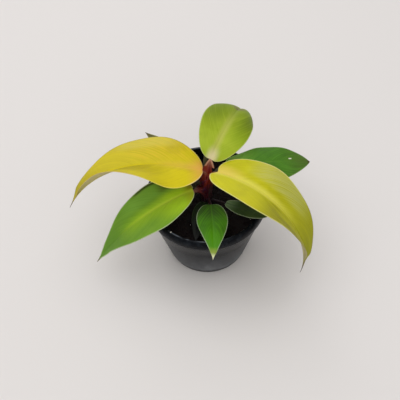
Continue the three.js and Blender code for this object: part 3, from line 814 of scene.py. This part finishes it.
        "shoulder": 0.62, "taper": 1.3, "fold": 4, "fold_tip": 4, "arch": 8,
        "roll": 0, "roll_twist": 0, "lobes": (0.15, 0.15), "lean": 0, "ripple": (0.3, 3, 1.1),
        "flesh": ("#3c3d22", "#33301e", "#282417"),
        "washes": (
            ("#4a4a2a", 0.6, ("midrib", 1, 0.3)),
            ("#453628", 0.7, ("margin", 3, 0.5)),
            ("#3c2e22", 1, ("along", 0.9, 0.97)),
        ),
    },
}
MIDRIB_STEPS = 240
# In mm: how far the upper face is above the middle, how thick the tissue is beside the midrib and at
# the margin, and how much deeper it is under the midrib.
UPPER_FACE = 0.25
LAMINA = 0.5
MARGIN = 0.3
RIB_DEPTH = 1.1
# Shares of the blade's length: how far a swing and a crown spread, and where a drip tip has lost all
# that it loses. Its half width doesn't get below DRIP_TIP (mm).
SWING_SPREAD = 0.3
CROWN_SPREAD = 0.2
DRIP_FULL = 0.9
DRIP_TIP = 0.12
FOLD_ROOM = 1.5
# The main veins sweep forward by a share of the length and are 3.6 mm apart. Veinlets run with them,
# about 2 mm apart, and fade into each other over some 25 mm.
VEIN_SWEEP = 0.38
VEIN_SPACING = 3.6
VEINLET_SPACING = 2
VEINLET_LENGTH = 25


def ramp(values, start, end):
    """0 before start and 1 past end, eased between them; start may be the larger."""
    part = np.clip((values - start) / (end - start), 0, 1)
    return part * part * (3 - 2 * part)


def half_width(blade, s):
    """Half the blade's width in mm at s, the place along the midrib from 0 to 1."""
    shoulder_power, taper_power, start = blade["shoulder"], blade["taper"], 0.035
    widest = (shoulder_power - taper_power * start) / (shoulder_power + taper_power)
    swell = ((s + start) / (widest + start)) ** shoulder_power
    narrow = (np.maximum(1 - s, 0) / (1 - widest)) ** taper_power
    end = 0.6 - 0.45 * ramp(s, 0.86, 1)
    return blade["half_width"] * swell * narrow * np.sqrt(1 - np.exp(-s / 0.02)) + end


def midrib_frame(blade, s):
    """The midrib's direction at s, the direction across it and the way its upper face looks."""
    rise = np.radians(blade["rise"] + blade["fall"] * s + blade["tip_fall"] * s**4)
    heading = np.radians(blade["heading"] + blade["heading_turn"] * s**2)
    roll = np.radians(blade["roll"] + blade["roll_twist"] * s)[:, None]
    along = np.stack([np.cos(rise) * np.cos(heading), np.cos(rise) * np.sin(heading), np.sin(rise)], 1)
    level = np.stack([-np.sin(heading), np.cos(heading), np.zeros_like(heading)], 1)
    up = np.cross(along, level)
    across = level * np.cos(roll) + up * np.sin(roll)
    face = up * np.cos(roll) - level * np.sin(roll)
    return along, across, face


def midrib_point(blade, s):
    """Points of the midrib at s, in mm, summed along its direction from the base."""
    steps = np.linspace(0, 1, MIDRIB_STEPS + 1)
    along = midrib_frame(blade, steps)[0]
    strides = (along[1:] + along[:-1]) / 2 * blade["length"] / MIDRIB_STEPS
    line = np.array(blade["base"]) + np.vstack([np.zeros(3), np.cumsum(strides, 0)])
    return np.stack([np.interp(s, steps, line[:, axis]) for axis in range(3)], 1)


def blade_point(blade, s, t):
    """Points in the middle of the blade's thickness, in mm. t runs across it from -1 to 1."""
    along, across, face = midrib_frame(blade, s)
    width, side, out = half_width(blade, s), np.sign(t), np.abs(t)
    lost, start = (np.where(t >= 0, *halves) for halves in zip(*blade.get("drip", ((0, 0), (0, 0)))))
    width = np.maximum(width * (1 - lost * ramp(s, start, DRIP_FULL)), DRIP_TIP)
    eased = np.minimum(1, width / 6)
    fold = np.radians(blade["fold"] + blade["fold_tip"] * s**2) * eased
    arch = math.radians(blade["arch"])
    reach = (np.sin(fold) - np.sin(fold - arch * out)) / arch * (1 + blade["lean"] * side)
    lift = (np.cos(fold - arch * out) - np.cos(fold)) / arch
    lobe = np.where(t >= 0, *blade["lobes"])
    soon = np.where(t >= 0, 0.02, blade.get("round_lobe", 0.02))
    rounding = np.sqrt(1 - np.exp(-s / soon)) * np.maximum(0, 1 - s / 0.3) ** 2
    back = lobe * rounding * out**1.3 * blade["half_width"]
    ripple, waves, phase = blade["ripple"]
    wave = ripple * np.sin(2 * np.pi * waves * s + phase) * side * out**2 * eased
    place, wider, higher = blade.get("swing", (0.5, (0, 0), (0, 0)))
    swing = np.exp(-(((s - place) / SWING_SPREAD) ** 2)) * out
    sideways = side * (width * reach + swing * np.where(t >= 0, *wider))
    place, bulge = blade.get("crown", (0.5, (0, 0)))
    crown = np.exp(-(((s - place) / CROWN_SPREAD) ** 2)) * 4 * out * (1 - out) * np.where(t >= 0, *bulge)
    upwards = width * lift + wave + swing * np.where(t >= 0, *higher) + crown
    point = midrib_point(blade, s) + across * sideways[:, None]
    return point + face * upwards[:, None] - along * back[:, None]


def blade_normal(blade, s, t):
    """The way the upper face looks at s and t, from points close around them."""
    low = np.clip(s - 0.004, 0, 0.992)
    lengthwise = blade_point(blade, low + 0.008, t) - blade_point(blade, low, t)
    left, right = np.minimum(1, t + 0.02), np.maximum(-1, t - 0.02)
    crosswise = blade_point(blade, s, left) - blade_point(blade, s, right)
    normal = np.cross(lengthwise, crosswise)
    normal *= np.sign(np.sum(normal * midrib_frame(blade, s)[2], 1))[:, None]
    return normal / np.linalg.norm(normal, axis=1)[:, None]


def grow_blade(blade, tissue):
    """A grid laid along the blade's surface, with its midrib, veins, thickness and two finishes."""
    large = blade["length"] > 70
    select_only()
    bpy.ops.mesh.primitive_grid_add(
        x_subdivisions=150 if large else 96, y_subdivisions=56 if large else 40, size=2
    )
    sheet = bpy.context.object
    mesh = sheet.data
    flat = np.empty(len(mesh.vertices) * 3)
    mesh.vertices.foreach_get("co", flat)
    even = flat[0::3] / 2 + 0.5
    s = 0.35 * even + 0.65 * (0.5 - 0.5 * np.cos(np.pi * even))
    t = np.sign(flat[1::3]) * np.abs(flat[1::3]) ** 1.2
    width = half_width(blade, s)
    side = t * width
    vein = (s - VEIN_SWEEP * np.abs(t) ** 1.3) * blade["length"] + np.where(t < 0, 0.5 * VEIN_SPACING, 0)
    margin = np.minimum((1 - np.abs(t)) * width, (1 - s) * blade["length"])
    rib = np.exp(-((side / 1.1) ** 2)) * (1 - s) ** 0.8 * ramp(s, 0, 0.05)
    channel = 0.3 * np.exp(-((side / 1.0) ** 2)) * (1 - s) * ramp(s, 0.02, 0.1)
    swells = np.cos(2 * np.pi * vein / VEIN_SPACING)
    quilting = 0.06 * swells * ramp(np.abs(side), 1, 4) * ramp(margin, 0.5, 3)
    middle = blade_point(blade, s, t)
    # In the fold the normals of the halves would cross, so they turn to the midrib's own there.
    off_midrib = np.linalg.norm(middle - midrib_point(blade, s), axis=1)
    face = midrib_frame(blade, s)[2]
    normal = face + (blade_normal(blade, s, t) - face) * ramp(off_midrib, 0, FOLD_ROOM)[:, None]
    above_middle = UPPER_FACE * (1 - 0.6 * ramp(s, 0.9, 1)) - channel - quilting
    top = middle + normal * above_middle[:, None]
    mesh.vertices.foreach_set("co", (top * MM).ravel())
    for name, values in (("along", s), ("side", side), ("margin", margin), ("vein", vein)):
        mesh.attributes.new(name, "FLOAT", "POINT").data.foreach_set("value", values)
    thickness = MARGIN + (LAMINA - MARGIN) * ramp(margin, 0, 2) + RIB_DEPTH * rib
    for finish in tissue:
        mesh.materials.append(finish)
    body = sheet.vertex_groups.new(name="thickness")
    for index, share in enumerate(thickness / (LAMINA + RIB_DEPTH)):
        body.add([index], float(share), "REPLACE")
    modify(
        sheet,
        "SOLIDIFY",
        thickness=(LAMINA + RIB_DEPTH) * MM,
        offset=-1,
        vertex_group="thickness",
        material_offset=1,
    )
    return sheet


def leaf_finish(name, blade, underneath):
    """Living leaf tissue: a waxy film over green or golden flesh, paler and duller underneath."""
    material, tree = new_material(name + (" underside" if underneath else " upper face"))
    measures = {
        measure: add_node(tree, "ShaderNodeAttribute", {"attribute_name": measure}).outputs["Fac"]
        for measure in ("along", "side", "margin", "vein")
    }
    measures["midrib"] = add_node(
        tree, "ShaderNodeMath", {"operation": "ABSOLUTE"}, {0: measures["side"]}
    ).outputs["Value"]
    coordinates = add_node(tree, "ShaderNodeTexCoord").outputs["Object"]
    # The flesh is mottled in patches about 16 mm wide.
    mottle = add_node(
        tree, "ShaderNodeTexNoise", {"Scale": 1 / (16 * MM), "Detail": 3}, {"Vector": coordinates}
    ).outputs["Fac"]
    vein_tone, flesh_tone, deep_tone = blade["flesh"]
    lengthwise = add_node(
        tree, "ShaderNodeMath", {"operation": "DIVIDE", 1: VEINLET_LENGTH}, {0: measures["side"]}
    ).outputs["Value"]
    crosswise = add_node(
        tree, "ShaderNodeMath", {"operation": "DIVIDE", 1: VEINLET_SPACING}, {0: measures["vein"]}
    ).outputs["Value"]
    streak_place = add_node(
        tree, "ShaderNodeCombineXYZ", links={"X": crosswise, "Y": lengthwise}
    ).outputs["Vector"]
    measures["streak"] = add_node(
        tree, "ShaderNodeTexNoise", {"Scale": 1, "Detail": 4, "Roughness": 0.6}, {"Vector": streak_place}
    ).outputs["Fac"]
    measures["mottle"] = mottle
    turn = add_node(
        tree,
        "ShaderNodeMath",
        {"operation": "MULTIPLY", 1: 2 * math.pi / VEIN_SPACING},
        {0: measures["vein"]},
    ).outputs["Value"]
    measures["main vein"] = add_node(
        tree, "ShaderNodeMath", {"operation": "COSINE"}, {0: turn}
    ).outputs["Value"]
    pattern = (
        (deep_tone, 0.55, ("mottle", 0.5, 0.3)),
        (vein_tone, 0.45, ("mottle", 0.5, 0.7)),
    )
    veining = blade.get("veining", 1)
    veins = (
        (deep_tone, 0.4 * veining, ("streak", 0.5, 0.36), ("midrib", 0.5, 3)),
        (vein_tone, 0.6 * veining, ("streak", 0.5, 0.66), ("midrib", 0.5, 3)),
        (vein_tone, 0.25 * veining, ("main vein", 0.7, 1), ("midrib", 0.5, 3)),
    )
    colour = flesh_tone
    for code, strength, *limits in (*pattern, *blade["washes"], *veins):
        measured = [(measures[measure], gone, full) for measure, gone, full in limits]
        colour = lay_colour(tree, colour, code, measured, strength)
    if underneath:
        # The underside is paler by the air in the tissue, all but the drip tip.
        colour = lay_colour(tree, colour, "#d8caa4", [(measures["along"], 0.93, 0.8)], 0.55, "LINEAR")
    relief = add_node(
        tree, "ShaderNodeBump", {"Strength": 0.5, "Distance": 0.2 * MM}, {"Height": measures["streak"]}
    ).outputs["Normal"]
    dullest, glossiest = (0.65, 0.55) if underneath else (0.5, 0.38)
    gloss = add_node(
        tree,
        "ShaderNodeMapRange",
        {"From Min": 0.3, "From Max": 0.7, "To Min": glossiest, "To Max": dullest},
        {"Value": mottle},
    ).outputs["Result"]
    flesh = add_node(
        tree,
        "ShaderNodeBsdfPrincipled",
        {
            "IOR": 1.42,
            "Specular IOR Level": 0.18,
            "Subsurface Weight": 0.2,
            "Subsurface Radius": (0.8, 1.0, 0.2),
            "Subsurface Scale": 1 * MM,
        },
        {"Base Color": colour, "Roughness": gloss, "Normal": relief},
    )
    add_node(tree, "ShaderNodeOutputMaterial", links={"Surface": flesh.outputs["BSDF"]})
    return material


for name, blade in BLADES.items():
    sheet = grow_blade(blade, [leaf_finish(name, blade, False), leaf_finish(name, blade, True)])
    finish_piece(sheet, name, [], [blade["node"]], 60)


# Stem and petioles. One fleshy growth: a short stem, still soft, and the leaf stalks that sheathe it
# one over another. The skin is smooth and full of red pigment: maroon, olive on the older stalks and
# pink where a stalk meets its blade. It is coloured redder high up and darker towards the bottom,
# nearly black low down.
STEM_FOOT = 34
STEM_RADIUS = 4.6
# A stalk ends this far (mm) under the middle of its blade.
STALK_GAP = 0.35
# For each stalk: where it leaves the stem, how far it climbs from there, how far before its blade it
# bends, its radii at the foot, halfway and at the blade, all in mm, and how olive it is, from 0 to 1.
STALKS = {
    "leaf_left": ((-1.6, 0.6, 80), 16, 6, (3.4, 2.3, 1.7), 0),
    "leaf_right": ((1.8, -0.2, 80), 17, 7, (3.4, 2.3, 1.7), 0),
    "leaf_back": ((0.4, 0.8, 82), 18, 7, (3.4, 2.2, 1.1), 0),
    "leaf_front_left": ((-1.5, -1.4, 78), 8, 5, (3.6, 2.2, 1.6), 0.1),
    "leaf_back_right": ((1.8, 1.8, 79), 11, 6, (3, 2.0, 1.5), 0.9),
    "leaf_back_left": ((-1.8, 1.8, 77), 9, 5, (2.8, 1.9, 1.4), 0.9),
    "leaf_front_small": ((0.8, -1.8, 67), 4, 3, (2.4, 1.7, 1.3), 0.4),
    "leaf_right_small": ((2.2, -1.4, 66), 3, 4, (2.1, 1.4, 1.1), 1),
    "leaf_lower_front": ((-0.8, -1.8, 65), 3, 2, (2, 1.4, 1), 0.6),
    "leaf_lower_left": ((-2.2, 0.6, 70), 5, 3, (2.4, 1.8, 1.3), 0.3),
}
# The tall stalks are channelled: a wing of two ribs grown together runs up each side, and low down
# the wings spread and clasp the stem. For a rib, these are how far out of the stalk's middle it lies,
# how far above it and how thick it is, at its foot, at the two handles of its bend and at the blade.
# A rib's foot is lower than the stalk's root.
WINGED_ABOVE = 75
WING_OUT = (2.6, 8, 2, 0.9)
WING_RISE = (0, 0.6, 1.2, 0.4)
WING_RADII = (1.3, 1.1, 0.5, 0.42)
WING_DROP = 8
INNER_RIB = 0.55
# The stalk of the back leaf opens under its blade into a pale-rimmed hood, the widest part of its
# channel, made of ribs that fan out: how far out it reaches to the right and to the left, how far up
# the stalk it starts and how thick it is. RIM_WIDTH is how far from the rim its pale tone is full and
# where it is gone.
HOOD_OUT = (5.2, 2.6)
HOOD_START = 0.72
HOOD_RIBS = 13
HOOD_RADII = (0.4, 0.6, 0.45)
RIM_WIDTH = (0.55, 1.4)
# The scale that wrapped the back leaf in its bud still stands behind its stalk, a thin green strip:
# the points of its left edge, with the share of its width at each, and its width, all in mm.
SCALE_LINE = (((-1.2, 5, 88), 0.5), ((-1.9, 8.5, 100), 1), ((-1.6, 12, 108), 1), ((-0.2, 15.5, 112), 0.1))
SCALE_WIDTH = 4
SCALE_RIBS = 5
SCALE_RADII = (0.6, 0.55, 0.5, 0.3)
# The stem swells where the old sheaths clasp it, by this much at this place up its length.
SWELLING = 1.4
SWOLLEN_AT = 0.68
stem_radii = [
    STEM_RADIUS * (1 - 0.3 * place**3)
    + SWELLING * math.exp(-(((place - SWOLLEN_AT) / 0.12) ** 2))
    - 0.1 + 0.09 * math.cos(10 * math.pi * place)
    for place in np.linspace(0, 1, 22)
]
stem_line = [Vector((0, 0, STEM_FOOT)), Vector((0.2, 0, 52)), Vector((-0.3, 0.2, 74)), Vector((0.2, 0.8, 90))]
limbs = [bend_tube(*stem_line, 20, stem_radii)]
tones = [(point.co.copy(), 0, 0.2, 0) for point in limbs[0].data.splines[0].bezier_points]
for name, (root, climb, reach, radii, olive) in STALKS.items():
    blade = BLADES[name]
    along, across, face = (Vector(direction[0]) for direction in midrib_frame(blade, np.zeros(1)))
    root = Vector(root)
    head = Vector(blade["base"]) - face * (STALK_GAP + radii[2])
    line = [root, root + Vector((0, 0, climb)), head - along * reach, head]
    grown = [(bend_tube(*line, 12, radii), 0, 0)]
    if root.z > WINGED_ABOVE:
        for side in (-1, -INNER_RIB, INNER_RIB, 1):
            rib = [
                point + across * side * out + face * abs(side) * rise
                for point, out, rise in zip(line, WING_OUT, WING_RISE)
            ]
            rib[0].z -= WING_DROP
            grown.append((bend_tube(*rib, 12, WING_RADII), 0, 0))
    if name == "leaf_back":
        shares = [(1 - HOOD_START) ** 3, 3 * (1 - HOOD_START) ** 2 * HOOD_START]
        shares += [3 * (1 - HOOD_START) * HOOD_START**2, HOOD_START**3]
        low = sum((point * share for point, share in zip(line, shares)), Vector())
        for side in np.linspace(-1, 1, HOOD_RIBS):
            start = low + across * side * HOOD_OUT[int(side > 0)] + face * 0.8 * side**2
            end = head + across * side * 0.5 + face * 1.2
            rib = [start, start.lerp(end, 0.35) + across * side * 0.3, start.lerp(end, 0.7), end]
            grown.append((bend_tube(*rib, 8, HOOD_RADII), HOOD_START, 1 if abs(side) == 1 else 0))
    for limb, first_place, rim_tone in grown:
        limbs.append(limb)
        points = limb.data.splines[0].bezier_points
        for place, point in zip(np.linspace(first_place, 1, len(points)), points):
            tones.append((point.co.copy(), place, olive, rim_tone))
for offset in np.linspace(0, SCALE_WIDTH, SCALE_RIBS):
    rib = [Vector(point) + Vector((offset * share, 0, 0)) for point, share in SCALE_LINE]
    limbs.append(bend_tube(*rib, 12, SCALE_RADII))
    tones += [(point.co.copy(), 0.4, 1, 0) for point in limbs[-1].data.splines[0].bezier_points]
stem = to_mesh(limbs)
modify(stem, "REMESH", mode="VOXEL", voxel_size=0.4 * MM)
modify(stem, "SMOOTH", factor=0.5, iterations=3)


def tree_of(places):
    """A search tree over points, which finds the nearest one to a place."""
    nearest = KDTree(len(places))
    for index, place in enumerate(places):
        nearest.insert(place, index)
    nearest.balance()
    return nearest


nearest_tone = tree_of([tone[0] for tone in tones])
nearest_rim = tree_of([tone[0] for tone in tones if tone[3]])
matches = [nearest_tone.find(vertex.co)[1] for vertex in stem.data.vertices]
from_rim = np.array([nearest_rim.find(vertex.co)[2] for vertex in stem.data.vertices]) / MM
measured = (
    ("stalk_place", [tones[match][1] for match in matches]),
    ("stalk_olive", [tones[match][2] for match in matches]),
    ("stalk_rim", 1 - ramp(from_rim, *RIM_WIDTH)),
)
for name, values in measured:
    stem.data.attributes.new(name, "FLOAT", "POINT").data.foreach_set("value", values)

stalk_skin, tree = new_material("maroon stalk skin")
place = add_node(tree, "ShaderNodeAttribute", {"attribute_name": "stalk_place"}).outputs["Fac"]
olive = add_node(tree, "ShaderNodeAttribute", {"attribute_name": "stalk_olive"}).outputs["Fac"]
rim = add_node(tree, "ShaderNodeAttribute", {"attribute_name": "stalk_rim"}).outputs["Fac"]
coordinates = add_node(tree, "ShaderNodeTexCoord").outputs["Object"]
height = add_node(tree, "ShaderNodeSeparateXYZ", links={"Vector": coordinates}).outputs["Z"]
# Streaks of pigment run lengthwise, 0.8 mm apart and some 8 mm long, and low down the skin flushes
# violet in patches about 4 mm wide.
stretched = add_node(
    tree, "ShaderNodeMapping", {"Scale": (1, 1, 0.1)}, {"Vector": coordinates}
).outputs["Vector"]
pigment = add_node(
    tree, "ShaderNodeTexNoise", {"Scale": 1 / (0.8 * MM), "Detail": 3}, {"Vector": stretched}
).outputs["Fac"]
flush = add_node(
    tree, "ShaderNodeTexNoise", {"Scale": 1 / (4 * MM), "Detail": 2}, {"Vector": coordinates}
).outputs["Fac"]
skin_colour = add_node(
    tree,
    "ShaderNodeMix",
    {"data_type": "RGBA", 6: srgb("#4a1006"), 7: srgb("#82280f")},
    {0: pigment},
).outputs[2]
for measure, gone, full, code, strength in (
    (flush, 0.45, 0.62, "#3a1a48", 0.6),
    (height, 92 * MM, 101 * MM, "#701e08", 0.7),
    (place, 0.65, 0.9, "#784a32", 0.8),
    (place, 0.92, 1, "#b87a58", 0.8),
    (rim, 0, 1, "#b08468", 0.75),
    (olive, 0, 1, "#4c5438", 0.9),
    (height, 100 * MM, 84 * MM, "#280b1c", 0.75),
    (height, 82 * MM, 70 * MM, "#1c1018", 0.8),
):
    skin_colour = lay_colour(tree, skin_colour, code, [(measure, gone, full)], strength)
skin_relief = add_node(
    tree, "ShaderNodeBump", {"Strength": 0.3, "Distance": 0.15 * MM}, {"Height": pigment}
).outputs["Normal"]
skin = add_node(
    tree,
    "ShaderNodeBsdfPrincipled",
    {
        "IOR": 1.42,
        "Specular IOR Level": 0.28,
        "Roughness": 0.36,
        "Subsurface Weight": 0.15,
        "Subsurface Radius": (1, 0.4, 0.2),
        "Subsurface Scale": 1 * MM,
    },
    {"Base Color": skin_colour, "Normal": skin_relief},
)
add_node(tree, "ShaderNodeOutputMaterial", links={"Surface": skin.outputs["BSDF"]})
finish_piece(stem, "stem", [stalk_skin], ["stem_and_petioles"], 80)


# Setting. A plain pale floor under soft studio light: a wide panel overhead, one behind the plant
# like a window and a faint one at the front. The camera stands where the photograph was taken from.
PLANT_MIDDLE = (0, 0, 0.06)
select_only()
bpy.ops.mesh.primitive_plane_add(size=8, location=(0, 0, -0.1 * MM))
floor = bpy.context.object
floor.name = "studio_floor"
floor_paint, tree = new_material("matt pale floor paint")
paint = add_node(
    tree, "ShaderNodeBsdfPrincipled", {"Base Color": srgb("#dcd8d6"), "Roughness": 0.7}
)
add_node(tree, "ShaderNodeOutputMaterial", links={"Surface": paint.outputs["BSDF"]})
floor.data.materials.append(floor_paint)

for label, place, width, power in (
    ("overhead panel", (-0.2, 0.1, 1.5), 1.6, 11),
    ("window panel", (-0.5, 1.5, 0.9), 1.2, 4),
    ("front panel", (0.3, -1.3, 1.1), 1.2, 3),
):
    bpy.ops.object.light_add(type="AREA", location=place)
    panel = bpy.context.object
    panel.name = label
    panel.data.size = width
    panel.data.energy = power
    panel.rotation_euler = (Vector(PLANT_MIDDLE) - Vector(place)).to_track_quat("-Z", "Y").to_euler()

world = bpy.data.worlds.new("studio")
bpy.context.scene.world = world
world.use_nodes = True
world.node_tree.nodes["Background"].inputs["Color"].default_value = srgb("#f6f5f4")
world.node_tree.nodes["Background"].inputs["Strength"].default_value = 0.66
bpy.context.scene.view_settings.view_transform = "Standard"

bpy.ops.object.camera_add(
    location=(0, -0.39455, 0.63948),
    rotation=(math.radians(34.479), math.radians(1.271), math.radians(-1.041)),
)
camera = bpy.context.object
camera.data.lens = 72
camera.data.sensor_width = 36
camera.data.clip_start = 0.01
bpy.context.scene.camera = camera
